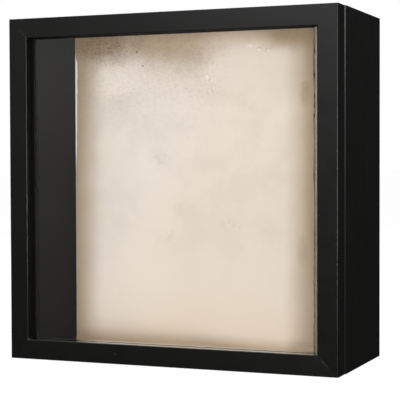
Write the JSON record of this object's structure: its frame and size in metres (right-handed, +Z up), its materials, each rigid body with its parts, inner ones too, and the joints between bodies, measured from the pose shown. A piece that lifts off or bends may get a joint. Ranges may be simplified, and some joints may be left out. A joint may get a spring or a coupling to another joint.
{
  "type": "shadow box frame",
  "caption": "Deep square black shadow box frame: a lined wall case with a mitred, glazed front door on side hinges, a magnetic catch and keyhole hangers at the back.",
  "frame": {"origin": "on the base, midway between the sides and midway between the face of the door and the wall", "axes": "+X to the right seen from the front, +Y towards the wall, +Z up"},
  "size_m": [0.3326, 0.145, 0.33],
  "materials": {
    "black_lacquer": "satin black lacquer",
    "bare_pine": "bare sawn pine",
    "hardboard": "bare hardboard",
    "white_board": "white faced foam board",
    "liner_paper": "aged beige paper",
    "clear_glass": "clear float glass",
    "clear_vinyl": "translucent strip",
    "blackened_hinge": "blackened steel",
    "zinc_steel": "zinc plated",
    "nickel": "nickel plated",
    "soft_buffer": "soft dot"
  },
  "bodies": {
    "case": {"left_side_panel": "black_lacquer", "right_side_panel": "black_lacquer", "top_panel": "black_lacquer", "bottom_panel": "black_lacquer", "left_stop_strip": "bare_pine", "right_stop_strip": "bare_pine", "top_stop_strip": "bare_pine", "bottom_stop_strip": "bare_pine", "hanging_rail": "bare_pine", "rail_dowels": "bare_pine", "upper_hinge_case_leaf": "blackened_hinge", "upper_hinge_pin": "blackened_hinge", "lower_hinge_case_leaf": "blackened_hinge", "lower_hinge_pin": "blackened_hinge", "hinge_case_screws": "blackened_hinge", "panel_brads": "zinc_steel", "stop_brads": "zinc_steel", "hanger_plates": "zinc_steel", "hanger_screws": "zinc_steel", "liner": "liner_paper", "backing_board": "white_board", "rear_panel": "hardboard", "case_magnets": "nickel", "door_buffers": "soft_buffer"},
    "door": {"left_stile": "black_lacquer", "right_stile": "black_lacquer", "top_rail": "black_lacquer", "bottom_rail": "black_lacquer", "corner_nails": "zinc_steel", "glass_pane": "clear_glass", "left_glazing_strip": "clear_vinyl", "right_glazing_strip": "clear_vinyl", "left_bead": "black_lacquer", "right_bead": "black_lacquer", "top_bead": "black_lacquer", "bottom_bead": "black_lacquer", "bead_pins": "zinc_steel", "upper_hinge_door_leaf": "blackened_hinge", "lower_hinge_door_leaf": "blackened_hinge", "hinge_door_screws": "blackened_hinge", "door_magnets": "nickel"}
  },
  "joints": [
    {"name": "door_swing", "type": "hinge", "parent": "case", "child": "door", "pos_m": [-0.1656, -0.0501, 0.165], "axis": [0, 0, -1], "range_deg": [0, 180]}
  ]
}
